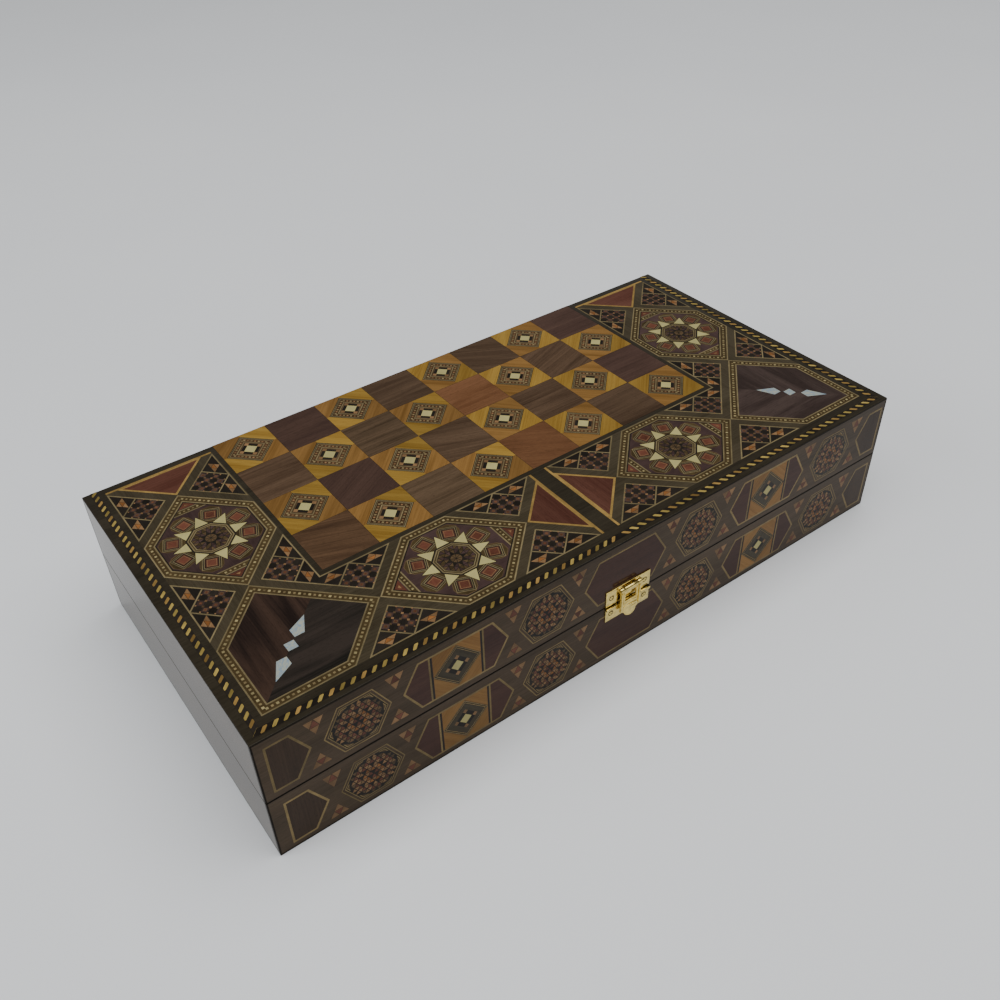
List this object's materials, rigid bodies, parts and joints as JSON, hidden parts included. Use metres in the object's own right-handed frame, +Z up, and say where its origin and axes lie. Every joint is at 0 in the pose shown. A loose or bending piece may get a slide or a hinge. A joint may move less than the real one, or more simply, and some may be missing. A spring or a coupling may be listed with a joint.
{
  "type": "backgammon set",
  "caption": "Folding inlaid wooden backgammon case with hinges, a brass hasp, a playing board in each tray, and men and dice inside.",
  "frame": {"origin": "middle of the closed case's bottom face, on the surface it stands on", "axes": "+X along the long front to the right, +Y from the front (hasp) to the back (hinges), +Z up"},
  "size_m": [0.5, 0.258, 0.098],
  "materials": {
    "walnut": "dark walnut veneer under thick clear gloss lacquer",
    "marquetry": "inlaid walnut, lemonwood, rosewood and bone under thick clear gloss lacquer",
    "plywood": "plain backing board, satin",
    "playing_board": "inlaid veneer, satin lacquer",
    "brass": "pressed sheet brass, lacquered",
    "light_men": "turned boxwood, satin polish",
    "dark_men": "turned rosewood, satin polish",
    "bone": "polished bone colour"
  },
  "bodies": {
    "base": {"base_marquetry": "marquetry", "base_panel": "plywood", "base_playing_board": "playing_board", "base_front_wall": "walnut", "base_back_wall": "walnut", "base_left_wall": "walnut", "base_right_wall": "walnut", "keeper_plate": "brass", "keeper_plate_left_screw": "brass", "keeper_plate_right_screw": "brass", "left_hinge_base_leaf": "brass", "left_hinge_pin": "brass", "right_hinge_base_leaf": "brass", "right_hinge_pin": "brass", "light_man_01": "light_men", "light_man_02": "light_men", "light_man_03": "light_men", "light_man_04": "light_men", "light_man_05": "light_men", "light_man_06": "light_men", "light_man_07": "light_men", "light_man_08": "light_men", "light_man_09": "light_men", "light_man_10": "light_men", "light_man_11": "light_men", "light_man_12": "light_men", "light_man_13": "light_men", "light_man_14": "light_men", "light_man_15": "light_men", "dark_man_01": "dark_men", "dark_man_02": "dark_men", "dark_man_03": "dark_men", "dark_man_04": "dark_men", "dark_man_05": "dark_men", "dark_man_06": "dark_men", "dark_man_07": "dark_men", "dark_man_08": "dark_men", "dark_man_09": "dark_men", "dark_man_10": "dark_men", "dark_man_11": "dark_men", "dark_man_12": "dark_men", "dark_man_13": "dark_men", "dark_man_14": "dark_men", "dark_man_15": "dark_men", "die_1": "bone", "die_2": "bone"},
    "lid": {"lid_marquetry": "marquetry", "lid_panel": "plywood", "lid_playing_board": "playing_board", "lid_front_wall": "walnut", "lid_back_wall": "walnut", "lid_left_wall": "walnut", "lid_right_wall": "walnut", "latch_plate": "brass", "latch_plate_left_screw": "brass", "latch_plate_right_screw": "brass", "hasp_pin": "brass", "left_hinge_lid_leaf": "brass", "right_hinge_lid_leaf": "brass"},
    "hasp": {"hasp": "brass"}
  },
  "joints": [
    {"name": "lid_open", "type": "hinge", "parent": "base", "child": "lid", "pos_m": [0, 0.12525, 0.049], "axis": [-1, 0, 0], "range_deg": [0, 180]},
    {"name": "hasp_swing", "type": "hinge", "parent": "lid", "child": "hasp", "pos_m": [0.004, -0.128, 0.06], "axis": [-1, 0, 0], "range_deg": [0, 150]}
  ]
}
